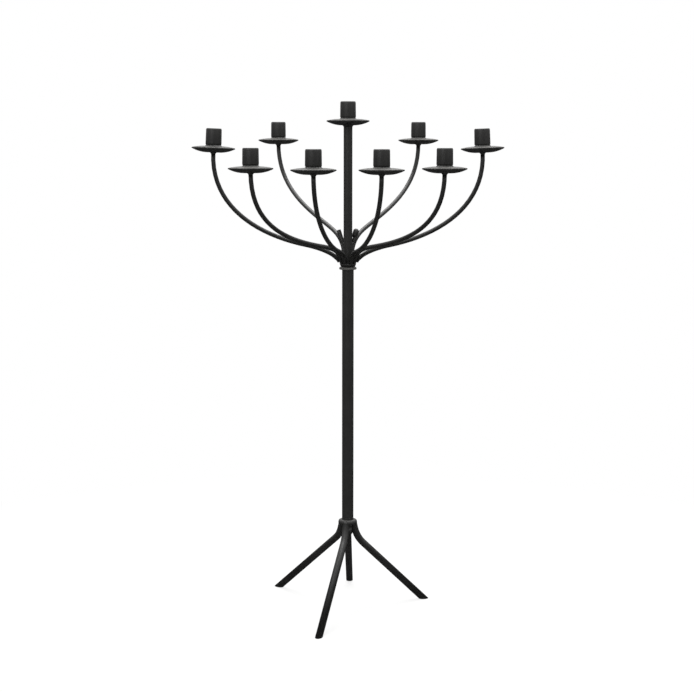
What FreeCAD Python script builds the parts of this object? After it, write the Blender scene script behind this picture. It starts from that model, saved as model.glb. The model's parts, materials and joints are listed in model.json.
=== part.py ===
import FreeCAD, Part
import math
import os
import Sketcher
from FreeCAD import Vector

# A floor candelabra of bent and welded steel bar: four splayed legs, a slip-on pole and a tree of
# eight curved arms round a centre post, with a drip pan and a candle cup on every light.
# Millimetres and degrees.  The origin is on the floor under the pole, +Z is up and -Y is the front.
# Compass angles run from the front towards +X.

SIZES = (
    ("cup_bore", 23.5, "bore of a candle cup, for a 22 mm taper candle"),
    ("cup_bore_depth", 27.0, "depth of the cup bore"),
    ("cup_wall", 1.7, "wall of a candle cup"),
    ("cup_floor", 2.5, "floor of a candle cup"),
    ("cup_round", 2.2, "round on the bottom edge of a cup"),
    ("cup_lip_break", 0.4, "broken edge at the lip of a cup"),
    ("pan_diameter", 73.0, "drip pan across its rim"),
    ("pan_depth", 7.5, "drip pan from its rim down to its underside"),
    ("pan_sheet", 1.5, "sheet of the pan and its cover"),
    ("pan_edge", 0.9, "height of the cut edge at the rim of a pan"),
    ("pan_land", 2.2, "width of the flat land where the cover meets the rim"),
    ("pan_seat", 20.0, "flat in the middle of a pan, over the end of its arm"),
    ("cover_rise", 3.4, "top of the cover above the rim of the pan"),
    ("cover_edge", 0.7, "height of the cut edge at the rim of a cover"),
    ("cover_step", 0.3, "how far the edge of the cover stands in from the rim"),
    ("cover_flat", 24.5, "flat on top of a cover, under the cup"),
    ("arm_bar", 7.4, "round bar of the arms"),
    ("arm_top", 2.0, "short straight of an arm under its pan"),
    ("weld_gap", 0.2, "space that a weld fills between two bars"),
    ("collar_gap", 0.1, "space between a welded collar and its bar"),
    ("post_bar", 15.0, "round bar of the centre post and of the base spigot"),
    ("bar_break", 1.0, "broken edge at the slip-in ends of the bars"),
    ("post_depth", 90.0, "length of the centre post inside the pole"),
    ("spigot_depth", 80.0, "length of the base spigot inside the pole"),
    ("spigot_tail", 20.0, "length of the base spigot under its collar"),
    ("slip_clearance", 0.05, "running clearance, all round, of a slip fit"),
    ("pole_diameter", 20.0, "outside of the pole tube"),
    ("pole_length", 435.5, "length of the pole tube"),
    ("pole_break", 0.5, "broken edge at the ends of the pole"),
    ("post_collar_diameter", 30.0, "collar of the centre post, on top of the pole"),
    ("post_collar_height", 2.5, "thickness of the collar of the centre post"),
    ("base_collar_diameter", 31.5, "collar of the base, under the pole"),
    ("base_collar_height", 6.5, "thickness of the collar of the base"),
    ("base_collar_edge", 2.0, "straight edge of the collar of the base, under its rounded shoulder"),
    ("base_collar_flat", 22.0, "flat on top of the collar of the base, under the pole"),
    ("collar_break", 0.6, "broken edges of both collars"),
    ("pole_foot", 161.0, "height of the foot of the pole above the floor"),
    ("leg_bar", 12.4, "round bar of the legs"),
    ("leg_straight", 5.0, "upright length at the top of a leg"),
    ("leg_trim", 9.0, "bar below the floor that the flat of a foot cuts off"),
    ("leg_front_angle", -15.2, "compass angle of the front leg"),
    ("leg_front_reach", 179.0, "middle of the front foot from the pole"),
    ("leg_front_bend", 40.0, "bend radius of the front leg"),
    ("leg_right_angle", 110.1, "compass angle of the right leg"),
    ("leg_right_reach", 145.3, "middle of the right foot from the pole"),
    ("leg_right_bend", 52.0, "bend radius of the right leg"),
    ("leg_back_angle", 179.0, "compass angle of the back leg"),
    ("leg_back_reach", 166.9, "middle of the back foot from the pole"),
    ("leg_back_bend", 42.0, "bend radius of the back leg"),
    ("leg_left_root_angle", 234.0, "compass angle of the top of the left leg, clear of the back leg"),
    ("leg_left_angle", 225.2, "compass angle of the left leg"),
    ("leg_left_reach", 177.4, "middle of the left foot from the pole"),
    ("leg_left_bend", 38.0, "bend radius of the left leg"),
    ("centre_rise", 249.6, "rim of the centre pan above the post collar"),
    ("outer_ring", 5.1, "how far the outer arms stand off the ring of the other arm feet"),
    ("front_foot_angle", 27.6, "compass angle of the foot of a front arm"),
    ("front_angle", 14.0, "compass angle of the run of a front arm"),
    ("front_run", 199.9, "run of a front arm"),
    ("front_rise", 170.2, "rim of a front pan above the post collar"),
    ("front_sweep", 107.5, "large bend of a front arm"),
    ("front_bend", 18.7, "small bend at the foot of a front arm"),
    ("front_tail", 3.0, "upright foot of a front arm"),
    ("front_lift", 2.6, "foot of a front arm above the post collar"),
    ("side_foot_angle", 68.2, "compass angle of the foot of a side arm"),
    ("side_angle", 43.4, "compass angle of the run of a side arm"),
    ("side_run", 210.8, "run of a side arm"),
    ("side_rise", 171.9, "rim of a side pan above the post collar"),
    ("side_sweep", 106.2, "large bend of a side arm"),
    ("side_bend", 23.8, "small bend at the foot of a side arm"),
    ("side_tail", 6.0, "upright foot of a side arm"),
    ("side_lift", 2.8, "foot of a side arm above the post collar"),
    ("outer_foot_angle", 93.0, "compass angle of the foot of an outer arm"),
    ("outer_angle", 80.6, "compass angle of the run of an outer arm"),
    ("outer_run", 212.4, "run of an outer arm"),
    ("outer_rise", 203.9, "rim of an outer pan above the post collar"),
    ("outer_sweep", 133.0, "large bend of an outer arm"),
    ("outer_bend", 13.8, "small bend at the foot of an outer arm"),
    ("outer_tail", 3.0, "upright foot of an outer arm"),
    ("outer_lift", 8.3, "foot of an outer arm above the post collar"),
    ("outer_lean", 2.2, "inward lean of the tip of an outer arm"),
    ("rear_foot_angle", 148.0, "compass angle of the foot of a rear arm"),
    ("rear_angle", 147.3, "compass angle of the run of a rear arm"),
    ("rear_run", 225.2, "run of a rear arm"),
    ("rear_rise", 217.6, "rim of a rear pan above the post collar"),
    ("rear_sweep", 100.0, "large bend of a rear arm"),
    ("rear_bend", 32.8, "small bend at the foot of a rear arm"),
    ("rear_tail", 12.0, "upright foot of a rear arm"),
    ("rear_lift", 10.9, "foot of a rear arm above the post collar"),
    ("spur_angle", 124.5, "compass angle of a spur behind the post"),
    ("spur_lift", 44.0, "lower end of a spur above the post collar"),
    ("spur_length", 21.5, "length of a spur"),
    ("spur_lean", 22.0, "outward lean of a spur"),
)

doc = FreeCAD.newDocument("Candelabra")
sheet = doc.addObject("Spreadsheet::Sheet", "Sizes")
for row, (alias, value, meaning) in enumerate(SIZES, start=1):
    sheet.set("A%d" % row, meaning)
    sheet.set("B%d" % row, str(value))
    sheet.setAlias("B%d" % row, alias)
doc.recompute()


class Size:
    """A number together with the sheet formula it comes from."""

    def __init__(self, text, number):
        self.text = text
        self.number = number

    def __add__(self, other):
        other = as_size(other)
        return Size("(%s + %s)" % (self.text, other.text), self.number + other.number)

    def __sub__(self, other):
        other = as_size(other)
        return Size("(%s - %s)" % (self.text, other.text), self.number - other.number)

    def __mul__(self, other):
        other = as_size(other)
        return Size("(%s * %s)" % (self.text, other.text), self.number * other.number)

    def __truediv__(self, other):
        other = as_size(other)
        return Size("(%s / %s)" % (self.text, other.text), self.number / other.number)

    def __neg__(self):
        return Size("(0 - %s)" % self.text, -self.number)


def as_size(value):
    return value if isinstance(value, Size) else Size("%r" % value, value)


def named(alias):
    return Size("Sizes." + alias, float(sheet.get(alias)))


def sine(angle):
    return Size("sin(%s)" % angle.text, math.sin(math.radians(angle.number)))


def cosine(angle):
    return Size("cos(%s)" % angle.text, math.cos(math.radians(angle.number)))


zero = as_size(0)
quarter_turn = as_size(90)


class Drawing:
    """A sketch on one of a body's own planes, with every size tied to the sheet."""

    def __init__(self, body, label, role):
        plane = [item for item in body.Origin.OriginFeatures if item.Role == role][0]
        self.sketch = body.newObject("Sketcher::SketchObject", label)
        self.sketch.AttachmentSupport = [(plane, "")]
        self.sketch.MapMode = "FlatFace"

    def line(self, start, end, helper=False):
        return self.sketch.addGeometry(Part.LineSegment(Vector(*start, 0), Vector(*end, 0)), helper)

    def arc(self, centre, radius, first, last):
        circle = Part.Circle(Vector(*centre, 0), Vector(0, 0, 1), radius)
        return self.sketch.addGeometry(Part.ArcOfCircle(circle, first, last), False)

    def rule(self, kind, *where):
        self.sketch.addConstraint(Sketcher.Constraint(kind, *where))

    def tie(self, size, kind, *where):
        number = math.radians(size.number) if kind == "Angle" else size.number
        index = self.sketch.addConstraint(Sketcher.Constraint(kind, *where, number))
        self.sketch.setExpression("Constraints[%d]" % index, size.text)

    def pin(self, edge, end, across, up):
        """Holds one end of an edge at its distances from the origin of the sketch."""
        if across.number == 0:
            self.rule("PointOnObject", edge, end, -2)
        else:
            self.tie(across, "DistanceX", -1, 1, edge, end)
        if up.number == 0:
            self.rule("PointOnObject", edge, end, -1)
        else:
            self.tie(up, "DistanceY", -1, 1, edge, end)


bodies = {}


def new_body(name):
    body = doc.addObject("PartDesign::Body", name)
    body.Label = name
    bodies[name] = body
    return body


def set_down(body, across, deep, up, turn, tip):
    """Places a body: a point, a turn about the upright, then a tip about its own Y axis."""
    point = "create(<<vector>>; %s; %s; %s)" % (across.text, deep.text, up.text)
    swing = "create(<<rotation>>; %s; %s; 0)" % (turn.text, tip.text)
    body.setExpression("Placement", "create(<<placement>>; %s; %s)" % (point, swing))


def turned(name, corners, dished=()):
    """A round piece from half its section: corners are (radius, height) going round.

    An edge whose number is in dished is an arc, level where it meets the flat beside it: the flat
    is the edge before it ("after") or the edge that follows ("before").
    """
    body = new_body(name)
    drawing = Drawing(body, "Section", "XZ_Plane")
    dished = dict(dished)
    edges = []
    for index, (radius, height) in enumerate(corners):
        next_radius, next_height = corners[(index + 1) % len(corners)]
        start = (radius.number, height.number)
        end = (next_radius.number, next_height.number)
        if index not in dished:
            edges.append((drawing.line(start, end), 1, 2))
            continue
        flat, far = (start, end) if dished[index] == "after" else (end, start)
        rise = far[1] - flat[1]
        sweep = ((far[0] - flat[0]) ** 2 + rise ** 2) / (2 * rise)
        centre = (flat[0], flat[1] + sweep)
        first = math.atan2(start[1] - centre[1], start[0] - centre[0])
        last = math.atan2(end[1] - centre[1], end[0] - centre[0])
        onward = (last - first) % (2 * math.pi) < math.pi
        if onward:
            edges.append((drawing.arc(centre, abs(sweep), first, last), 1, 2))
        else:
            edges.append((drawing.arc(centre, abs(sweep), last, first), 2, 1))
    for index, (edge, near, far) in enumerate(edges):
        before_edge, before_near, before_far = edges[index - 1]
        before_index = (index - 1) % len(edges)
        level = dished.get(index) == "after" or dished.get(before_index) == "before"
        drawing.rule("Tangent" if level else "Coincident", before_edge, before_far, edge, near)
        holder = (before_edge, before_far) if index in dished else (edge, near)
        drawing.pin(*holder, *corners[index])
    doc.recompute()
    turning = body.newObject("PartDesign::Revolution", "Turning")
    turning.Profile = drawing.sketch
    turning.ReferenceAxis = (drawing.sketch, ["V_Axis"])
    turning.Angle = 360
    body.Tip = turning
    return body


def round_bar(name, radius, bottom, top, low_break, high_break):
    """An upright solid bar with broken edges."""
    return turned(name, (
        (zero, bottom),
        (radius - low_break, bottom),
        (radius, bottom + low_break),
        (radius, top - high_break),
        (radius - high_break, top),
        (zero, top),
    ))


def ring(name, inner, outer, bottom, top, edge_break):
    """An upright tube or collar with its outer edges broken."""
    return turned(name, (
        (inner, bottom),
        (outer - edge_break, bottom),
        (outer, bottom + edge_break),
        (outer, top - edge_break),
        (outer - edge_break, top),
        (inner, top),
    ))


def section_of_bar(body, diameter):
    drawing = Drawing(body, "Section", "XY_Plane")
    circle = Part.Circle(Vector(0, 0, 0), Vector(0, 0, 1), diameter.number / 2)
    edge = drawing.sketch.addGeometry(circle, False)
    drawing.rule("Coincident", edge, 3, -1, 1)
    drawing.tie(diameter, "Diameter", edge)
    return drawing.sketch


def run_bar(body, section, path):
    doc.recompute()
    bar = body.newObject("PartDesign::AdditivePipe", "Bar")
    bar.Profile = section
    bar.Spine = (path, [])
    body.Tip = bar
    return bar


# Sizes that follow from the named ones.
post_radius = named("post_bar") / 2
slip_bore = post_radius + named("slip_clearance")
collar_bore = post_radius + named("collar_gap")
arm_ring = post_radius + named("arm_bar") / 2 + named("weld_gap")
leg_ring = post_radius + named("leg_bar") / 2 + named("weld_gap")
leg_top = named("pole_foot") - named("base_collar_height")
pole_top = named("pole_foot") + named("pole_length")
hub_floor = pole_top + named("post_collar_height")
centre_seat = hub_floor + named("centre_rise") - named("pan_depth")

# The base: a spigot that the pole slips over, its collar, and four legs welded round it.
round_bar("base_spigot", post_radius, leg_top - named("spigot_tail"),
          named("pole_foot") + named("spigot_depth"), named("bar_break"), named("bar_break"))
base_radius = named("base_collar_diameter") / 2
turned("base_collar", (
    (collar_bore, leg_top),
    (base_radius - named("collar_break"), leg_top),
    (base_radius, leg_top + named("collar_break")),
    (base_radius, leg_top + named("base_collar_edge")),
    (named("base_collar_flat") / 2, named("pole_foot")),
    (collar_bore, named("pole_foot")),
), {3: "before"}.items())


def leg(name, root, angle, foot_reach, bend):
    """A bar that leaves the collar upright, bends out and ends in a foot cut flat on the floor."""
    body = new_body(name)
    section = section_of_bar(body, named("leg_bar"))
    drawing = Drawing(body, "Path", "XZ_Plane")
    straight = named("leg_straight")
    run = foot_reach - leg_ring
    trim = named("leg_trim")
    # The sloping run is the line from the foot that just touches the bend.
    across = run.number - bend.number
    down = straight.number - leg_top.number
    span = math.hypot(across, down)
    slope = math.atan2(-down, across) - math.asin(bend.number / span)
    touch = (bend.number * (1 - math.sin(slope)), -straight.number - bend.number * math.cos(slope))
    foot = (run.number, -leg_top.number)
    tip = (run.number + trim.number / math.tan(slope), -leg_top.number - trim.number)
    upright = drawing.line((0, 0), (0, -straight.number))
    turn_end = math.pi + math.pi / 2 - slope
    curve = drawing.arc((bend.number, -straight.number), bend.number, math.pi, turn_end)
    sloping = drawing.line(touch, tip)
    mark = drawing.sketch.addGeometry(Part.Point(Vector(*foot, 0)), True)
    drawing.rule("Coincident", upright, 1, -1, 1)
    drawing.rule("Vertical", upright)
    drawing.rule("Tangent", upright, 2, curve, 1)
    drawing.rule("Tangent", curve, 2, sloping, 1)
    drawing.rule("PointOnObject", mark, 1, sloping)
    drawing.tie(straight, "Distance", upright)
    drawing.tie(bend, "Radius", curve)
    drawing.pin(mark, 1, run, -leg_top)
    drawing.tie(-(leg_top + trim), "DistanceY", -1, 1, sloping, 2)
    run_bar(body, section, drawing.sketch)
    # The flat of the foot: all of the bar below the floor is taken off.
    floor = Drawing(body, "Floor", "XY_Plane")
    floor.sketch.setExpression("AttachmentOffset.Base.z", (-leg_top).text)
    left = run - named("leg_bar") * 2
    right = run + named("leg_bar") * 2
    low = -named("leg_bar")
    high = named("leg_bar")
    places = ((left, low), (right, low), (right, high), (left, high))
    sides = []
    for index, place in enumerate(places):
        following = places[(index + 1) % len(places)]
        start = tuple(size.number for size in place)
        end = tuple(size.number for size in following)
        sides.append(floor.line(start, end))
    for index, side in enumerate(sides):
        floor.rule("Coincident", sides[index - 1], 2, side, 1)
        floor.pin(side, 1, *places[index])
    doc.recompute()
    flat = body.newObject("PartDesign::Pocket", "Flat")
    flat.Profile = floor.sketch
    flat.setExpression("Length", (named("leg_bar") * 2 + trim).text)
    body.Tip = flat
    set_down(body, leg_ring * sine(root), -(leg_ring * cosine(root)), leg_top, angle - quarter_turn, zero)
    return body


for place in ("front", "right", "back", "left"):
    angle = named("leg_%s_angle" % place)
    reach = named("leg_%s_reach" % place)
    root = named("leg_left_root_angle") if place == "left" else angle
    leg("leg_" + place, root, angle, reach, named("leg_%s_bend" % place))

# The pole: a tube that slips over the base spigot and takes the centre post in its top.
ring("pole_tube", slip_bore, named("pole_diameter") / 2, named("pole_foot"), pole_top, named("pole_break"))

# The tree: the centre post with its collar on top of the pole, and the arms welded round it.
round_bar("centre_post", post_radius, pole_top - named("post_depth"), centre_seat, named("bar_break"),
          named("bar_break"))
ring("post_collar", collar_bore, named("post_collar_diameter") / 2, pole_top, hub_floor,
     named("collar_break"))

seats = [("centre", zero, zero, centre_seat, zero, zero)]


def arm(pair, side, ring_radius, lean):
    """A bent bar: upright foot, small bend out, sloping run, large bend up to the pan."""
    name = "%s_%s" % (pair, side)
    hand = as_size(1 if side == "right" else -1)
    foot_angle = named(pair + "_foot_angle") * hand
    angle = named(pair + "_angle") * hand
    run = named(pair + "_run")
    sweep = named(pair + "_sweep")
    bend = named(pair + "_bend")
    tail = named(pair + "_tail")
    top = named("arm_top")
    foot_height = hub_floor + named(pair + "_lift")
    rise = named(pair + "_rise") - named("pan_depth") - named(pair + "_lift")
    seat = foot_height + rise
    body = new_body("arm_" + name)
    section = section_of_bar(body, named("arm_bar"))
    drawing = Drawing(body, "Path", "XZ_Plane")
    # The sloping run is the line that just touches both bends.
    tip_lean = math.radians(lean.number)
    high = (run.number + top.number * math.sin(tip_lean), rise.number - top.number * math.cos(tip_lean))
    middle = (high[0] - sweep.number * math.cos(tip_lean), high[1] - sweep.number * math.sin(tip_lean))
    corner = (bend.number, tail.number)
    apart = (middle[0] - corner[0], middle[1] - corner[1])
    reach = math.asin((sweep.number + bend.number) / math.hypot(*apart))
    slope = math.atan2(apart[1], apart[0]) - reach
    normal = (-math.sin(slope), math.cos(slope))
    low = (corner[0] + bend.number * normal[0], corner[1] + bend.number * normal[1])
    far = (middle[0] - sweep.number * normal[0], middle[1] - sweep.number * normal[1])
    foot = drawing.line((0, 0), (0, tail.number))
    small = drawing.arc(corner, bend.number, math.pi / 2 + slope, math.pi)
    sloping = drawing.line(low, far)
    large = drawing.arc(middle, sweep.number, slope - math.pi / 2, tip_lean)
    tip = drawing.line(high, (run.number, rise.number))
    drawing.rule("Coincident", foot, 1, -1, 1)
    drawing.rule("Vertical", foot)
    drawing.rule("Tangent", foot, 2, small, 2)
    drawing.rule("Tangent", small, 1, sloping, 1)
    drawing.rule("Tangent", sloping, 2, large, 1)
    drawing.rule("Tangent", large, 2, tip, 1)
    drawing.tie(tail, "Distance", foot)
    drawing.tie(bend, "Radius", small)
    drawing.tie(sweep, "Radius", large)
    drawing.tie(top, "Distance", tip)
    drawing.pin(tip, 2, run, rise)
    if lean.number == 0:
        drawing.rule("Vertical", tip)
    else:
        drawing.tie(quarter_turn + lean, "Angle", -1, 1, tip, 1)
    run_bar(body, section, drawing.sketch)
    across = ring_radius * sine(foot_angle)
    deep = -(ring_radius * cosine(foot_angle))
    turn = angle - quarter_turn
    set_down(body, across, deep, foot_height, turn, zero)
    seats.append((name, across + run * sine(angle), deep - run * cosine(angle), seat, turn, -lean))
    return body


for side in ("left", "right"):
    arm("front", side, arm_ring, zero)
    arm("side", side, arm_ring, zero)
    arm("outer", side, arm_ring + named("outer_ring"), named("outer_lean"))
    arm("rear", side, arm_ring, zero)


def spur(side):
    """A short straight bar behind the post, leaning out."""
    hand = as_size(1 if side == "right" else -1)
    angle = named("spur_angle") * hand
    body = new_body("spur_" + side)
    section = section_of_bar(body, named("arm_bar"))
    doc.recompute()
    bar = body.newObject("PartDesign::Pad", "Bar")
    bar.Profile = section
    bar.setExpression("Length", named("spur_length").text)
    body.Tip = bar
    set_down(body, arm_ring * sine(angle), -(arm_ring * cosine(angle)), hub_floor + named("spur_lift"),
             angle - quarter_turn, named("spur_lean"))


spur("left")
spur("right")

# The lights: a pressed pan, a domed cover lying rim on rim in it, and a candle cup on the cover.
rim_radius = named("pan_diameter") / 2
cover_radius = rim_radius - named("cover_step")
land_radius = rim_radius - named("pan_land")
seat_radius = named("pan_seat") / 2
flat_radius = named("cover_flat") / 2
pan_sheet = named("pan_sheet")
pan_depth = named("pan_depth")
pan_edge = named("pan_edge")
bore_radius = named("cup_bore") / 2
cup_radius = bore_radius + named("cup_wall")
cup_floor = named("cup_floor")
cup_height = cup_floor + named("cup_bore_depth")
lip_break = named("cup_lip_break")
cup_round = named("cup_round")

for name, across, deep, up, turn, tip in seats:
    pan = turned("pan_" + name, (
        (zero, zero),
        (seat_radius, zero),
        (rim_radius, pan_depth - pan_edge),
        (rim_radius, pan_depth),
        (land_radius, pan_depth),
        (seat_radius, pan_sheet),
        (zero, pan_sheet),
    ), {1: "after", 4: "before"}.items())
    cover = turned("cover_" + name, (
        (land_radius, pan_depth),
        (cover_radius, pan_depth),
        (cover_radius, pan_depth + named("cover_edge")),
        (flat_radius, pan_depth + named("cover_rise")),
        (zero, pan_depth + named("cover_rise")),
        (zero, pan_depth + named("cover_rise") - pan_sheet),
        (flat_radius, pan_depth + named("cover_rise") - pan_sheet),
    ), {2: "before", 6: "after"}.items())
    cup_foot = pan_depth + named("cover_rise")
    cup = turned("cup_" + name, (
        (zero, cup_foot),
        (cup_radius - cup_round, cup_foot),
        (cup_radius, cup_foot + cup_round),
        (cup_radius, cup_foot + cup_height - lip_break),
        (cup_radius - lip_break, cup_foot + cup_height),
        (bore_radius + lip_break, cup_foot + cup_height),
        (bore_radius, cup_foot + cup_height - lip_break),
        (bore_radius, cup_foot + cup_floor),
        (zero, cup_foot + cup_floor),
    ), {1: "after"}.items())
    for piece in (pan, cover, cup):
        set_down(piece, across, deep, up, turn, tip)

doc.recompute()
os.makedirs("parts", exist_ok=True)
for item in doc.Objects:
    if "Invalid" in item.State or "Error" in item.State:
        raise RuntimeError("%s is not built: %s" % (item.Label, item.State))
for name, body in bodies.items():
    if body.Shape.isNull() or not body.Shape.isValid() or len(body.Shape.Solids) != 1:
        raise RuntimeError("%s has no sound solid" % name)
for name, body in bodies.items():
    body.Shape.exportStep("parts/%s.step" % name)
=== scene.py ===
# %% [markdown]
# # A black floor candelabra
# The real object is a welded stand of bent steel bar under a satin black coat: four splayed legs, a
# plain pole, and a tree of curved arms that each end in a drip pan with a candle cup.  Exact solids of
# all these pieces come in as a frame.  This lesson keeps the straight and pressed ones, makes softer
# cups, collars, legs and arms in place of the solid ones, and adds what the solids lack: the weld beads
# that hold the bars, the rounded ends of the spurs, the finish, the light and the camera.

# %% Load the exact model as a fixed frame
import json
import math
import random

import bmesh
import bpy
from mathutils import Matrix, Vector


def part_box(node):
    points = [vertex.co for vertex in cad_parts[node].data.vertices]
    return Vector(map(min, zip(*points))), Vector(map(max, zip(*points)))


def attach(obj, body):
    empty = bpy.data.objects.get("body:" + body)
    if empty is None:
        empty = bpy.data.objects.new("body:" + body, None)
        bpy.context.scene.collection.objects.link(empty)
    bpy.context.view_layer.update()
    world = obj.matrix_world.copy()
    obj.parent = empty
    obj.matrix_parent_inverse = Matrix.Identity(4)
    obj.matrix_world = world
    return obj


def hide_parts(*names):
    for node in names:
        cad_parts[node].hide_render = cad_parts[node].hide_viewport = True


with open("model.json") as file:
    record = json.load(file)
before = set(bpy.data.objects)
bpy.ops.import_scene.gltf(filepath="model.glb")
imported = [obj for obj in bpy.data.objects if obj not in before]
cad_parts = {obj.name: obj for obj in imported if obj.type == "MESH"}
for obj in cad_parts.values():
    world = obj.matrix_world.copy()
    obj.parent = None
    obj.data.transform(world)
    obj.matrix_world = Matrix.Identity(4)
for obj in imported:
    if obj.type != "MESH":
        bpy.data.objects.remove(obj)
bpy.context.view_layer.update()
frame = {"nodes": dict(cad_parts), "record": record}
nodes = frame["nodes"]

# %% [markdown]
# ## The camera
# The photograph was taken from about the height of the pans, so we see them edge-on and look down on
# the feet.  The rings at both ends of the pole, drawn as flat ellipses, give the height and the
# distance.  A tall object shows its perspective clearly, so these numbers matter: a camera that is
# too high opens the pans, and one that is too far away flattens the spread of the feet.

# %% Place the camera
PHOTO_WIDTH = 694
FOCAL_PIXELS = 1547.0
PIXELS_RIGHT = 1.05
PIXELS_DOWN = 0.5
SENSOR_WIDTH = 36.0
CAMERA_PLACE = (0.0093, -2.650, 0.812)
LEVEL_TURN = 90.0
CAMERA_PITCH = 7.507
CAMERA_YAW = 0.2
CAMERA_ROLL = -0.05

view = bpy.data.cameras.new("camera")
view.sensor_width = SENSOR_WIDTH
view.lens = SENSOR_WIDTH * FOCAL_PIXELS / PHOTO_WIDTH
view.shift_x = -PIXELS_RIGHT / PHOTO_WIDTH
view.shift_y = PIXELS_DOWN / PHOTO_WIDTH
camera = bpy.data.objects.new("camera", view)
camera.location = CAMERA_PLACE
turns = (LEVEL_TURN - CAMERA_PITCH, CAMERA_ROLL, CAMERA_YAW)
camera.rotation_euler = [math.radians(turn) for turn in turns]
bpy.context.scene.collection.objects.link(camera)
bpy.context.scene.camera = camera
print("lens:", round(view.lens, 2), "mm")

# %% [markdown]
# ## Writing shader sums in Python
# A finish is a sum of noises and masks.  Wiring each Math node by hand hides the sum, so one small
# class wraps a socket and lets us write the sum as Python: `1 - mask` adds a Math node and gives
# back its output.  Every other node comes from the method `node`, apart from the output at the end.

# %% A socket that can be added and multiplied
class Wire:
    """A shader socket that takes part in Python sums, or an empty start for new nodes."""

    def __init__(self, tree, value):
        self.tree = tree
        self.value = value

    def node(self, kind, settings=None, output=0, **inputs):
        """Adds a node: its settings first, then values or wires for its sockets.

        A socket goes by its label, or by _ and its number where labels repeat.
        """
        made = self.tree.nodes.new(kind)
        for name, setting in (settings or {}).items():
            setattr(made, name, setting)
        for name, given in inputs.items():
            socket = made.inputs[int(name[1:]) if name[0] == "_" else name]
            if isinstance(given, Wire):
                self.tree.links.new(given.value, socket)
            else:
                socket.default_value = given
        return Wire(self.tree, made.outputs[output])

    def sum(self, operation, left, right):
        """Adds a Math node for two wires or numbers."""
        return self.node("ShaderNodeMath", {"operation": operation}, _0=left, _1=right)

    def __add__(self, other):
        return self.sum("ADD", self, other)

    def __sub__(self, other):
        return self.sum("SUBTRACT", self, other)

    def __rsub__(self, other):
        return self.sum("SUBTRACT", other, self)

    def __mul__(self, other):
        return self.sum("MULTIPLY", self, other)

    __radd__ = __add__
    __rmul__ = __mul__

    def held(self, low, high):
        """Maps low..high to 0..1 and holds it there."""
        ends = {"From Min": low, "From Max": high}
        return self.node("ShaderNodeMapRange", {"clamp": True}, Value=self, **ends)


# %% An empty finish to start from
def new_finish(name):
    """An empty material, a wire to start its sums from, and its output node."""
    finish = bpy.data.materials.new(name)
    finish.use_nodes = True
    tree = finish.node_tree
    tree.nodes.clear()
    output = tree.nodes.new("ShaderNodeOutputMaterial")
    return finish, Wire(tree, None), output


# %% [markdown]
# ## Studio floor
# The photograph is a plain product shot on white.  The floor is a pale sheet that keeps a faint shadow
# near the feet and fades to pure white further out.  It could be a shadow catcher, but a sheet that is
# mixed with white light is simpler to tune.  It is left out of reflections, so that the undersides of
# the pans do not mirror it.

# %% Lay the floor
FLOOR_SIZE = 12.0
FLOOR_DROP = 0.0004
FLOOR_COLOUR = (0.86, 0.86, 0.85, 1.0)
FLOOR_WHITE_SHARE = 0.82
FLOOR_FADE = (0.35, 1.1)
WHITE = (1, 1, 1, 1)

mesh = bpy.data.meshes.new("floor")
shape = bmesh.new()
bmesh.ops.create_grid(shape, x_segments=1, y_segments=1, size=FLOOR_SIZE / 2)
shape.to_mesh(mesh)
shape.free()
floor = bpy.data.objects.new("floor", mesh)
bpy.context.scene.collection.objects.link(floor)
floor.location.z = -FLOOR_DROP
floor.visible_glossy = False

paper, wire, output = new_finish("studio_paper")
camera_ray = wire.node("ShaderNodeLightPath", output="Is Camera Ray")
spot = wire.node("ShaderNodeTexCoord", output="Object")
away = wire.node("ShaderNodeVectorMath", {"operation": "LENGTH"}, output="Value", _0=spot)
share = FLOOR_WHITE_SHARE + away.held(*FLOOR_FADE) * (1 - FLOOR_WHITE_SHARE)
matt = wire.node("ShaderNodeBsdfDiffuse", Color=FLOOR_COLOUR)
white = wire.node("ShaderNodeEmission", Color=WHITE)
mixed = wire.node("ShaderNodeMixShader", Fac=camera_ray * share, _1=matt, _2=white)
wire.tree.links.new(mixed.value, output.inputs["Surface"])
floor.data.materials.append(paper)
print("floor:", FLOOR_SIZE, "m square, all white from", FLOOR_FADE[1], "m out")

# %% [markdown]
# ## Studio walls
# The world is white wherever the camera looks past the floor.  For reflections it is bright above the
# horizon and dim below, as in a studio with a dark floor: that keeps the undersides of the pans almost
# black while their tops shine pale.  Asking each ray what it is lets one world do all three jobs.

# %% Light the room
SKY_BRIGHT = 0.95
SKY_DIM = 0.06
SKY_EDGE = (-0.05, 0.30)
SKY_FOR_LIGHT = 0.45

world = bpy.data.worlds.new("studio")
bpy.context.scene.world = world
world.use_nodes = True
world.node_tree.nodes.clear()
sky = Wire(world.node_tree, None)
aim = sky.node("ShaderNodeTexCoord", output="Generated")
height = sky.node("ShaderNodeSeparateXYZ", output="Z", Vector=aim)
reflected = SKY_DIM + height.held(*SKY_EDGE) * (SKY_BRIGHT - SKY_DIM)
camera_ray = sky.node("ShaderNodeLightPath", output="Is Camera Ray")
glossy_ray = sky.node("ShaderNodeLightPath", output="Is Glossy Ray")
unseen = glossy_ray * reflected + (1 - glossy_ray) * SKY_FOR_LIGHT
strength = camera_ray + (1 - camera_ray) * unseen
back = sky.node("ShaderNodeBackground", Color=WHITE, Strength=strength)
world_out = world.node_tree.nodes.new("ShaderNodeOutputWorld")
world.node_tree.links.new(back.value, world_out.inputs["Surface"])
print("room in reflections:", SKY_DIM, "below,", SKY_BRIGHT, "above")

# %% [markdown]
# ## Soft boxes
# A black bar shows hardly any colour of its own: we see it by the pale stripes that the lamps leave on
# it.  A large box overhead makes the tops of pans, covers and collars pale.  A smaller one in front on
# the left draws a stripe down the pole, and a weak one on the right keeps that side from going flat.

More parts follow.
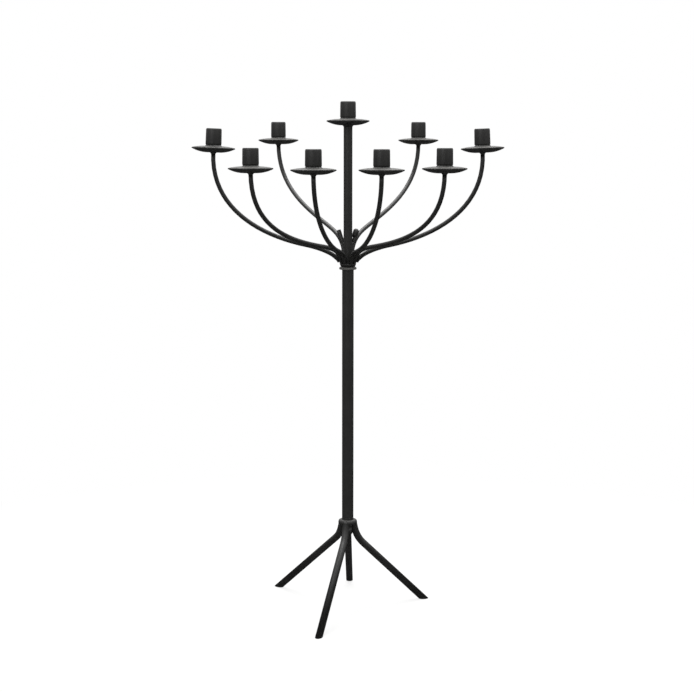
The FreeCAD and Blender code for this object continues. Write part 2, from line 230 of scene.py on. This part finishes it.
# %% Hang the lamps
LAMPS = (
    # name, place and side in metres, power in watts
    ("key_box", (-1.3, -2.4, 2.1), 1.6, 20.0),
    ("fill_box", (2.2, -1.5, 1.6), 1.4, 4.0),
    ("top_box", (0.0, 0.5, 2.9), 2.4, 118.0),
)
AIM_HEIGHT = 0.6
for name, place, size, power in LAMPS:
    lamp = bpy.data.lights.new(name, "AREA")
    lamp.shape = "SQUARE"
    lamp.size = size
    lamp.energy = power
    holder = bpy.data.objects.new(name, lamp)
    holder.location = place
    ray = Vector((0, 0, AIM_HEIGHT)) - Vector(place)
    holder.rotation_euler = ray.to_track_quat("-Z", "Y").to_euler()
    bpy.context.scene.collection.objects.link(holder)
bpy.context.scene.view_settings.view_transform = "Standard"
print("lamps:", len(LAMPS))

# %% [markdown]
# ## Black powder coat
# Powder coat is paint baked on as dust: it flows out into a skin with a very fine orange-peel
# surface, slightly thinner on cut edges.  Two noises make the peel, a slow noise varies the black,
# a bevel lookup finds the edges, and a pale grey on whatever faces up stands partly for fine dust and
# partly for a painted sheen of the light from above.  A plain black would do from far away, but close
# up it would look like plastic.

# %% Noise, blend and shade
def noise(place, lumps, layers, kept):
    """A noise over a place: lumps in a metre, layers of finer lumps, what each finer layer keeps."""
    return place.node("ShaderNodeTexNoise", Vector=place, Scale=lumps, Detail=layers, Roughness=kept)


def blend(share, first, second):
    """A colour between two colours."""
    kind = {"data_type": "RGBA"}
    return share.node("ShaderNodeMix", kind, output=2, Factor=share, _6=first, _7=second)


def shade(tone, times):
    """A tone made darker or paler, as a colour."""
    return tuple(channel * times for channel in tone) + (1,)


# %% The colour of the coat
TONE_SPREAD = (0.3, 0.7)
DARKER = 0.85
PALER = 1.18
EDGE_PALER = 2.0
EDGE_SHARE = 0.6
# Dust and painted sheen: faces that point up turn pale grey, partly for real dust and partly to paint the
# light of the overhead box.
DUST_AND_SHEEN_TONE = (0.066, 0.064, 0.058, 1)
DUST_AND_SHEEN_FACING = (0.80, 1.0)
DUST_AND_SHEEN_PATCHES = (0.35, 0.65)
DUST_AND_SHEEN_LEAST = 0.35


def coat_colour(tone, slow, edge, up):
    """A tone that varies slowly, is thinner on edges, and turns pale grey where it faces up: part dust,
    part painted sheen.
    """
    body = blend(slow.held(*TONE_SPREAD), shade(tone, DARKER), shade(tone, PALER))
    thin = blend(edge * EDGE_SHARE, body, shade(tone, EDGE_PALER))
    patches = DUST_AND_SHEEN_LEAST + slow.held(*DUST_AND_SHEEN_PATCHES) * (1 - DUST_AND_SHEEN_LEAST)
    # Upward faces get the pale grey, part dust and part painted sheen.
    return blend(up.held(*DUST_AND_SHEEN_FACING) * patches, thin, DUST_AND_SHEEN_TONE)


# %% The whole coat
SLOW_NOISE = (34.0, 3.0, 0.5)
PEEL_NOISE = (950.0, 2.0, 0.55)
GRAIN_NOISE = (2600.0, 1.0, 0.5)
EDGE_SAMPLES = 4
EDGE_RADIUS = 0.0005
EDGE_TURN = (0.01, 0.12)
SLOW_ROUGHER = 0.08
PEEL_ROUGHER = 0.05
EDGE_SMOOTHER = 0.06
PEEL_SHARE = 0.7
PEEL_DEPTH = 0.00012


def black_coat(name, tone, rough, peel):
    """A black coat: its tone, how rough it is, and how strongly its peel shows."""
    finish, wire, output = new_finish(name)
    place = wire.node("ShaderNodeTexCoord", output="Object")
    slow = noise(place, *SLOW_NOISE)
    cells = noise(place, *PEEL_NOISE)
    grain = noise(place, *GRAIN_NOISE)
    rounded = wire.node("ShaderNodeBevel", {"samples": EDGE_SAMPLES}, Radius=EDGE_RADIUS)
    normal = wire.node("ShaderNodeNewGeometry", output="Normal")
    dot = {"operation": "DOT_PRODUCT"}
    facing = wire.node("ShaderNodeVectorMath", dot, output="Value", _0=rounded, _1=normal)
    edge = (1 - facing).held(*EDGE_TURN)
    up = wire.node("ShaderNodeSeparateXYZ", output="Z", Vector=normal)
    matt = rough + slow * SLOW_ROUGHER + cells * PEEL_ROUGHER - edge * EDGE_SMOOTHER
    skin = cells * PEEL_SHARE + grain * (1 - PEEL_SHARE)
    bump = wire.node("ShaderNodeBump", Height=skin, Strength=peel, Distance=PEEL_DEPTH, Normal=rounded)
    sockets = {"Base Color": coat_colour(tone, slow, edge, up), "Roughness": matt, "Normal": bump}
    paint = wire.node("ShaderNodeBsdfPrincipled", **sockets)
    wire.tree.links.new(paint.value, output.inputs["Surface"])
    return finish


# %% Coat the solids
COAT_TONE = (0.0105, 0.0103, 0.0095)
# A paler copy of the coat, painted to stand for the light that falls on the upper collar.
PAINTED_LIT_TONE = (0.070, 0.068, 0.064)
coat = black_coat("matt_black_coat", COAT_TONE, rough=0.42, peel=0.35)
weld_coat = black_coat("black_coat_on_welds", COAT_TONE, rough=0.40, peel=0.6)
painted_lit_coat = black_coat("black_coat_painted_lit", PAINTED_LIT_TONE, rough=0.34, peel=0.35)

for piece in nodes.values():
    piece.data.materials.clear()
    piece.data.materials.append(coat)
print("coated:", len(nodes), "pieces")

# %% [markdown]
# ## Seats of the nine lights
# Every light is the same stack on a seat: pan, cover and cup.  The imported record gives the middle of
# each cup's mouth and the way the cup points, so each seat is found by going back down that line.
# Reading it from there keeps every new piece in line with the solids.

# %% Find the seats
MM = 0.001
SEAT_BELOW_MOUTH = 40.0 * MM
MOUTH_PREFIX = "candle_"
seats = {}
for mount in frame["record"]["mounts"]:
    if mount["name"].startswith(MOUTH_PREFIX):
        axis = Vector(mount["axis"])
        seat = Vector(mount["pos_m"]) - axis * SEAT_BELOW_MOUTH
        seats[mount["name"][len(MOUTH_PREFIX):]] = (seat, axis)
seats = dict(sorted(seats.items()))
print("seats:", ", ".join(seats))

# %% [markdown]
# ## Round pieces from half a section
# A cup lip, a weld bead and a rounded bar end are all round pieces, so one function spins half a
# section about its axis.  A bead is then made uneven: the welder's hand leaves a ripple for every
# short step, so each slice of the ring swells a little.

# %% Spin a section
JOIN_WITHIN = 1e-6
RIPPLE_CHANCE = 0.6


def spun(section, steps):
    """A closed round shape from half a section of (radius, height) in millimetres.

    The section is a closed loop, or a line that starts and ends on the axis.
    """
    shape = bmesh.new()
    corners = [shape.verts.new((radius * MM, 0, height * MM)) for radius, height in section]
    first = 1 if section[0][0] == section[-1][0] == 0 else 0
    sides = []
    for index in range(first, len(corners)):
        sides.append(shape.edges.new((corners[index - 1], corners[index])))
    bmesh.ops.spin(shape, geom=corners + sides, cent=(0, 0, 0), axis=(0, 0, 1), dvec=(0, 0, 0),
                   angle=math.tau, steps=steps, use_merge=True, use_duplicate=False)
    bmesh.ops.remove_doubles(shape, verts=shape.verts, dist=JOIN_WITHIN)
    return shape


def ripple(shape, steps, lumps, swell, seed):
    """Swells the slices of a spun shape in even ripples, with a little chance in each."""
    chance = random.Random(seed)
    slices = {}
    for vert in shape.verts:
        turn = round(math.atan2(vert.co.y, vert.co.x) / math.tau * steps) % steps
        slices.setdefault(turn, []).append(vert)
    for turn, slice_verts in sorted(slices.items()):
        beat = math.cos(math.tau * turn * lumps / steps)
        grow = 1 + swell * (beat + chance.uniform(-RIPPLE_CHANCE, RIPPLE_CHANCE))
        bmesh.ops.scale(shape, verts=slice_verts, vec=(grow, grow, 1))


# %% Stand a shape in its place and keep it
UP = Vector((0, 0, 1))


def stand(shape, place, axis=UP):
    """Turns a shape from the upright to an axis and moves it to its place."""
    lean = UP.rotation_difference(axis).to_matrix().to_4x4()
    bmesh.ops.transform(shape, verts=shape.verts, matrix=Matrix.Translation(place) @ lean)


def new_piece(name, shape, body, finish):
    """Keeps a shape as a piece of the candelabra that moves with one of its bodies."""
    bmesh.ops.recalc_face_normals(shape, faces=shape.faces)
    unclosed = sum(len(edge.link_faces) != 2 for edge in shape.edges)
    if unclosed:
        print(name, "is not closed at", unclosed, "edges")
    mesh = bpy.data.meshes.new(name)
    shape.to_mesh(mesh)
    shape.free()
    mesh.polygons.foreach_set("use_smooth", [True] * len(mesh.polygons))
    piece = bpy.data.objects.new(name, mesh)
    bpy.context.scene.collection.objects.link(piece)
    piece.data.materials.append(finish)
    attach(piece, body)
    return piece


# %% [markdown]
# ## Welds under the pans
# Each pan is welded to the cut end of its bar with one fillet run round the bar.  In the photograph
# it shows as a small flare where the bar meets the pan.  The section of the bead is the same for all
# bars, so it is drawn from the skin of the bar outwards.

# %% Fillets under the pans
ARM_RADIUS = 3.7
POST_RADIUS = 7.5
FILLET_STEPS = 40
FILLET_LUMPS = 10
FILLET_SWELL = 0.012
FILLET = (
    # out from the skin of the bar, up from the underside of the pan
    (-0.9, 0.5), (2.0, 0.5), (1.8, -0.2), (1.1, -0.8), (0.5, -1.6), (0.1, -2.5), (-0.3, -2.9), (-0.9, -2.9),
)
for number, (name, (place, axis)) in enumerate(seats.items()):
    bar = POST_RADIUS if name == "centre" else ARM_RADIUS
    bead = spun([(bar + out, up) for out, up in FILLET], FILLET_STEPS)
    ripple(bead, FILLET_STEPS, FILLET_LUMPS, FILLET_SWELL, number)
    stand(bead, place, axis)
    new_piece("weld_under_pan_" + name, bead, "tree", weld_coat)
print("pan welds:", len(seats))

# %% [markdown]
# ## Cups with a rolled lip
# The solid cup has a plain lip with broken edges.  On the real cup the lip is rounded over and
# catches the light from above, and the foot is rounded too.  A bevel would round both edges alike, so a
# cup spun from its own section, with the same bore, stands for the solid one.

# %% Spin the cups
CUP_STEPS = 64
CUP_SECTION = (
    # from the middle of its underside up the outside to the lip
    (0.0, 10.9), (9.9, 10.9), (11.2, 11.4), (12.4, 12.3), (13.1, 13.3), (13.4, 14.2), (13.45, 15.0),
    (13.3, 26.0), (13.15, 37.6), (13.0, 38.5), (12.7, 39.3), (12.4, 39.85), (12.15, 40.15), (11.95, 40.2),
    # down the bore
    (11.75, 39.8), (11.75, 14.4), (11.5, 13.7), (11.0, 13.4), (0.0, 13.4),
)
for name, (place, axis) in seats.items():
    cup = spun(CUP_SECTION, CUP_STEPS)
    stand(cup, place, axis)
    piece = new_piece("rolled_cup_" + name, cup, "tree", coat)
    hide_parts("cup_" + name)
print("cups:", len(seats), "of", CUP_STEPS, "facets round")

# %% [markdown]
# ## Welds under the cups
# The rounded foot of a cup stands on the crown of the cover, and a low bead closes the gap between
# them.  It faces up, so it shows as the palest line of each light.  It is spun and rippled like the
# fillets under the pans.

# %% Beads round the feet of the cups
BEAD_LUMPS = 13
BEAD_SWELL = 0.008
BEAD_FIRST_SEED = 50
FOOT_BEAD = (
    (9.0, 10.6), (15.0, 10.7), (13.9, 11.2), (13.1, 11.9), (12.6, 12.7), (12.3, 13.3), (9.0, 13.5),
)
for number, (name, (place, axis)) in enumerate(seats.items()):
    bead = spun(FOOT_BEAD, FILLET_STEPS)
    ripple(bead, FILLET_STEPS, BEAD_LUMPS, BEAD_SWELL, BEAD_FIRST_SEED + number)
    stand(bead, place, axis)
    new_piece("weld_under_cup_" + name, bead, "tree", weld_coat)
print("cup welds:", len(seats))

# %% [markdown]
# ## The weld cone at the hub
# The feet of the arms stand close round the post, and the welder has filled the space below them: on
# the collar lies a lumpy cone that opens upwards.  It is spun and rippled like a bead, only with larger
# lumps, because here many short runs lie over each other.

# %% Spin the hub cone
HUB_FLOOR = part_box("post_collar")[1].z / MM
HUB_STEPS = 48
HUB_LUMPS = 9
HUB_SWELL = 0.02
HUB_SEED = 31
HUB_SECTION = (
    # up the outside
    (7.0, -0.2), (10.2, -0.2), (10.7, 0.9), (11.8, 2.3), (13.0, 4.0), (13.8, 5.6),
    # over the rim and down to the post
    (13.7, 6.8), (12.8, 7.0), (11.4, 5.6), (9.5, 4.2), (7.0, 3.6),
)
cone = spun(HUB_SECTION, HUB_STEPS)
ripple(cone, HUB_STEPS, HUB_LUMPS, HUB_SWELL, HUB_SEED)
stand(cone, UP * HUB_FLOOR * MM)
new_piece("weld_cone_at_hub", cone, "tree", weld_coat)
print("hub floor:", round(HUB_FLOOR, 1), "mm")

# %% [markdown]
# ## A circle carried along a line
# A run of weld, a leg and an arm are all round bars that follow a line.  A curve with a round bevel
# would do it too, but its ends would need closing.  Here a capped circle is extruded from point to
# point, and each new ring is turned square to the line and given its own size.

# %% Carry a circle
def carry(shape, points, sizes, sides, across):
    """Carries a circle along a line of points as a closed bar, and gives back its far end.

    The line lies in one plane, and across is the direction square to that plane.
    """
    last = len(points) - 1
    before = None
    cap = None
    for index, point in enumerate(points):
        along = (points[min(index + 1, last)] - points[max(index - 1, 0)]).normalized()
        turned = Matrix((across, along.cross(across), along)).transposed().to_4x4()
        now = Matrix.Translation(point) @ turned @ Matrix.Scale(sizes[index], 4)
        if cap is None:
            made = bmesh.ops.create_circle(shape, cap_ends=True, segments=sides, radius=1.0, matrix=now)
            cap = made["verts"][0].link_faces[0]
        else:
            inner = cap
            made = bmesh.ops.extrude_face_region(shape, geom=[inner])
            cap = [item for item in made["geom"] if isinstance(item, bmesh.types.BMFace)][0]
            if index > 1:
                bmesh.ops.delete(shape, geom=[inner], context="FACES_ONLY")
            bmesh.ops.transform(shape, verts=cap.verts, matrix=now @ before.inverted())
        before = now
    return cap


# %% [markdown]
# ## Runs of weld in the grooves
# Between the feet of the arms the welder has drawn a run up each groove.  A run swells and thins as the
# hand pauses, and it is blunt at both ends, so its circle changes size from point to point.

# %% Draw the groove runs
RUN_SIDES = 10
RUN_POINTS = 8
RUN_RADIUS = 1.9
RUN_SEED = 7
RUN_END = 0.6
RUN_BLUNT = 0.4
RUN_BEAT = 0.10
RUN_CHANCE = 0.06
SIDEWAYS = Vector((1, 0, 0))
BEHIND = 180.0
GROOVES = (
    # distance from the axis of the post, compass angle, bottom and top above the hub floor
    (9.6, 47.9, 4.0, 15.0),
    (12.6, 84.0, 6.0, 15.0),
    (9.2, 96.0, 6.0, 14.0),
    (8.9, 127.5, 9.0, 24.0),
    (8.9, BEHIND, 9.0, 24.0),
)


def compass(angle):
    """The way out from the pole at an angle from the front, positive to the right."""
    return Vector((math.sin(math.radians(angle)), -math.cos(math.radians(angle)), 0))


def add_run(shape, points, chance):
    """Adds one run of weld along a line of points."""
    sizes = []
    for index in range(len(points)):
        done = (index + RUN_END) / (len(points) - 1 + 2 * RUN_END)
        full = math.sin(math.pi * done) ** RUN_BLUNT
        beat = RUN_BEAT * (-1) ** index + chance.uniform(-RUN_CHANCE, RUN_CHANCE)
        sizes.append(RUN_RADIUS * MM * full * (1 + beat))
    carry(shape, points, sizes, RUN_SIDES, SIDEWAYS)


runs = bmesh.new()
chance = random.Random(RUN_SEED)
for distance, angle, bottom, top in GROOVES:
    hands = (1,) if angle == BEHIND else (1, -1)
    for hand in hands:
        foot = compass(angle * hand) * distance + UP * (HUB_FLOOR + bottom)
        step = UP * (top - bottom) / (RUN_POINTS - 1)
        add_run(runs, [(foot + step * index) * MM for index in range(RUN_POINTS)], chance)
new_piece("weld_runs_at_hub", runs, "tree", weld_coat)
print("groove runs:", 2 * len(GROOVES) - 1)

# %% [markdown]
# ## Collars
# The pole has a ring at each end.  The upper one is a thick washer with rounded edges that caps the
# pole; the lower one is a heavier ring, domed on top, that also hides the tops of the legs.  Both are
# spun, and their rounded shoulders catch the light from above.

# %% Spin the collars
COLLAR_STEPS = 72
POLE_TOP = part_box("pole_tube")[1].z / MM
POLE_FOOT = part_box("pole_tube")[0].z / MM
UPPER_COLLAR = (
    # across the top, round the shoulder, and back under it to the pole
    (7.6, 4.2), (12.8, 4.2), (14.0, 3.8), (14.8, 2.9), (15.0, 1.8), (14.8, 0.6), (14.2, -0.1),
    (13.3, -0.4), (10.3, -0.4), (10.3, 0.0), (7.6, 0.0),
)
LOWER_COLLAR = (
    # a neck that carries the line of the pole on down, and the groove round it
    (7.6, 0.0), (9.7, 0.0), (10.0, -0.05), (10.0, -0.5), (10.0, -2.8), (10.05, -3.4), (10.3, -3.8),
    # the dome, the shoulder and the underside
    (11.0, -3.7), (12.0, -3.4), (12.9, -3.3), (14.0, -3.4), (15.2, -4.3), (16.0, -5.6), (16.4, -7.2),
    (16.4, -9.4), (15.9, -11.0), (14.6, -11.9), (7.6, -12.1),
)
COLLARS = (
    # The upper collar wears the paler coat: a painted highlight for the light on it.
    ("post_collar", UPPER_COLLAR, POLE_TOP, "tree", painted_lit_coat),
    ("base_collar", LOWER_COLLAR, POLE_FOOT, "base", coat),
)
for name, section, height, body, finish in COLLARS:
    ring = spun(section, COLLAR_STEPS)
    stand(ring, UP * height * MM)
    piece = new_piece("rounded_" + name, ring, body, finish)
    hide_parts(name)
print("pole from", round(POLE_FOOT, 1), "to", round(POLE_TOP, 1), "mm")

# %% [markdown]
# ## The plug weld in the base
# The pole slips over a spigot, and the lower end of that spigot can be seen between the legs.  The welder
# has run a bead round it where it meets the tops of the legs, so it looks thicker and softer than a cut
# bar.  A short spun plug with a rounded end gives that.

# %% Spin the plug weld
PLUG_STEPS = 36
PLUG_LUMPS = 7
PLUG_SWELL = 0.01
PLUG_SEED = 77
PLUG = ((0.0, -29.8), (6.8, -29.8), (7.6, -29.4), (8.0, -28.6), (8.0, -15.0), (0.0, -15.0))
plug = spun(PLUG, PLUG_STEPS)
ripple(plug, PLUG_STEPS, PLUG_LUMPS, PLUG_SWELL, PLUG_SEED)
stand(plug, UP * POLE_FOOT * MM)
new_piece("weld_round_spigot", plug, "base", weld_coat)
print("plug weld ends", round(POLE_FOOT + PLUG[0][1], 1), "mm above the floor")

# %% [markdown]
# ## Ends of the spurs
# Two short spurs stand behind the post.  Their ends are not cut square: the right one is a thick rounded
# knob and the left one is just rounded off.  A knob is spun about the line of its spur.

# %% Round the spurs
ARM_RING = 11.4
SPUR_ANGLE = 124.5
SPUR_LIFT = 44.0
SPUR_LENGTH = 21.5
SPUR_RISE = 68.0
KNOB_STEPS = 24
RIGHT_KNOB = (
    (0.0, -13.0), (3.2, -13.0), (4.2, -9.5), (4.8, -5.0), (4.8, -1.8), (4.2, 0.5), (2.9, 2.0), (1.4, 2.7),
    (0.0, 2.9),
)
LEFT_KNOB = (
    (0.0, -9.0), (3.4, -9.0), (3.8, -7.0), (3.85, -3.5), (3.5, -1.4), (2.6, 0.0), (1.2, 0.7), (0.0, 0.9),
)
KNOBS = (
    # side, its hand, how far outside the ring of the arms it stands, half a section
    ("right", 1, -2.2, RIGHT_KNOB),
    ("left", -1, 0.0, LEFT_KNOB),
)


def rising(angle):
    """The direction (out, up) that rises at an angle."""
    return Vector((math.cos(math.radians(angle)), math.sin(math.radians(angle))))


for side, hand, further, section in KNOBS:
    outward = compass(SPUR_ANGLE * hand)
    out, up = rising(SPUR_RISE)
    along = outward * out + UP * up
    foot = outward * (ARM_RING + further) + UP * (HUB_FLOOR + SPUR_LIFT)
    knob = spun(section, KNOB_STEPS)
    stand(knob, (foot + along * SPUR_LENGTH) * MM, along)
    new_piece("spur_end_" + side, knob, "tree", coat)
print("spur ends:", len(KNOBS))

# %% [markdown]
# ## Smooth bends
# A bar that is bent by hand does not change from straight to arc at one point: it eases into the bend.
# A cubic bend does the same.  It is given its two ends, the directions there, and how far it holds to
# each of them, which is how a curve handle works in Blender.

# %% Draw a bend
SWEEP_STEPS = 20


def bent(start, leaving, start_pull, end, arriving, end_pull):
    """A smooth bend between two points (out, up): it leaves and arrives along two directions."""
    guide = (start, start + leaving * start_pull, end - arriving * end_pull, end)
    line = []
    for step in range(SWEEP_STEPS + 1):
        done = step / SWEEP_STEPS
        left = 1 - done
        weights = (left ** 3, 3 * done * left ** 2, 3 * done * done * left, done ** 3)
        line.append(sum((point * weight for point, weight in zip(guide, weights)), Vector((0, 0))))
    return line


def laid(line, root, outward):
    """A line of (out, up) in millimetres, begun at a root and laid outward, as points in metres."""
    return [(root + outward * out + UP * up) * MM for out, up in line]


# %% [markdown]
# ## Legs tucked under the collar
# In the photograph no leg stands out past the collar: their tops are dressed and tucked under it before
# welding.  The solids may not overlap, so they keep their distance there.  Here each leg is a circle
# carried along a line: it leaves the collar nearly upright, sweeps into the slope of the solid leg, and
# its far end is laid flat on the floor.

# %% Find the slope of the solid legs
LEG_RING = 13.9
LEG_TOP = 154.5
LEG_STRAIGHT = 5.0


def leg_run(reach, bend):
    """The rise of the straight run of a solid leg, in degrees, and the point where that run begins."""
    across = reach - LEG_RING - bend
    drop = LEG_TOP - LEG_STRAIGHT
    slope = math.atan2(drop, across) - math.asin(bend / math.hypot(across, drop))
    begin = Vector((LEG_RING + bend * (1 - math.sin(slope)), drop - bend * math.cos(slope)))
    return -math.degrees(slope), begin


# %% Carry the legs
LEG_RADIUS = 6.2
LEG_SIDES = 28
LEG_PULL = 1 / 2.6
LEGS = (
    # name, compass angles of its top and its run, reach of its foot, bend of the solid leg,
    # then its top: how far from the axis of the pole, and which way it rises there
    ("leg_front", -15.2, -15.2, 179.0, 40.0, 10.4, -84.0),
    ("leg_right", 110.1, 110.1, 145.3, 52.0, 10.2, -81.0),
    ("leg_back", 179.0, 179.0, 166.9, 42.0, 10.4, -84.0),
    ("leg_left", 234.0, 225.2, 177.4, 38.0, 11.0, -78.0),
)
for name, top_angle, angle, reach, bend, top_out, top_rise in LEGS:
    run_rise, begin = leg_run(reach, bend)
    top = Vector((top_out, LEG_TOP))
    pull = (begin - top).length * LEG_PULL
    line = bent(top, rising(top_rise), pull, begin, rising(run_rise), pull)
    line.append(Vector((reach, 0)))
    outward = compass(angle)
    points = laid(line, (compass(top_angle) - outward) * LEG_RING, outward)
    leg = bmesh.new()
    foot = carry(leg, points, [LEG_RADIUS * MM] * len(points), LEG_SIDES, outward.cross(UP))
    along = points[-1] - points[-2]
    for vert in foot.verts:
        bmesh.ops.translate(leg, verts=[vert], vec=along * (-vert.co.z / along.z))
    piece = new_piece("tucked_" + name, leg, "base", coat)
    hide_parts(name)
    print(name, "falls", round(-run_rise, 1), "degrees")

# %% [markdown]
# ## Arms bent by hand
# The solid arms are two neat bends and a straight run.  The real bars were pulled round a form by hand:
# the large bend eases slowly into the run, and the run turns down softly to its foot, which is dressed
# thinner.  Two smooth bends that share a point of the run follow that, and a circle carried along them
# makes the bar.

# %% Lines of the arms
OUTER_RING = ARM_RING + 5.1
ARMS = (
    # pair, foot from the axis of the post, compass angles of its foot and its run, foot above the hub
    # floor, then as (out, up): the foot, a point of the run, the tip
    ("front", ARM_RING, 27.6, 14.0, 2.6, (0, 0), (53, 31.5), (199.9, 160.1)),
    ("side", ARM_RING, 68.2, 43.4, 2.8, (0, 0), (48, 36.5), (210.8, 161.6)),
    ("outer", OUTER_RING, 93.0, 80.6, 8.3, (-0.6, 1.2), (54.3, 31.0), (212.4, 188.1)),
    ("rear", ARM_RING, 148.0, 147.3, 10.9, (0, 0), (51.5, 58.3), (225.2, 199.2)),
)
ARM_WAYS = {
    # pair: rise of its foot, of its run and of its tip, in degrees, and how far each bend holds to them
    "front": (90.0, 12.0, 90.0, 25.5, 23.0, 66.0, 75.0),
    "side": (90.0, 9.5, 90.0, 27.5, 23.5, 74.5, 89.5),
    "outer": (85.0, 12.0, 93.3, 13.5, 22.0, 88.0, 90.0),
    "rear": (90.0, 21.0, 90.0, 33.0, 37.0, 65.0, 82.5),
}


def arm_line(pair, foot, middle, tip):
    """The line of an arm through three points: one bend up to its run, one on to its tip."""
    foot_rise, run_rise, tip_rise, from_foot, to_run, from_run, to_tip = ARM_WAYS[pair]
    run = rising(run_rise)
    line = bent(foot, rising(foot_rise), from_foot, middle, run, to_run)
    return line + bent(middle, run, from_run, tip, rising(tip_rise), to_tip)[1:]


# %% Carry the arms
ARM_SIDES = 20
FOOT_RINGS = 4
FOOT_SHARE = 0.55
for pair, ring, foot_angle, run_angle, lift, foot, middle, tip in ARMS:
    line = arm_line(pair, Vector(foot), Vector(middle), Vector(tip))
    shares = [min(1, FOOT_SHARE + (1 - FOOT_SHARE) * index / FOOT_RINGS) for index in range(len(line))]
    sizes = [ARM_RADIUS * MM * share for share in shares]
    for side, hand in (("left", -1), ("right", 1)):
        outward = compass(run_angle * hand)
        root = compass(foot_angle * hand) * ring + UP * (HUB_FLOOR + lift)
        arm = bmesh.new()
        carry(arm, laid(line, root, outward), sizes, ARM_SIDES, outward.cross(UP))
        piece = new_piece("bent_arm_%s_%s" % (pair, side), arm, "tree", coat)
        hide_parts("arm_%s_%s" % (pair, side))
print("arms:", 2 * len(ARMS))
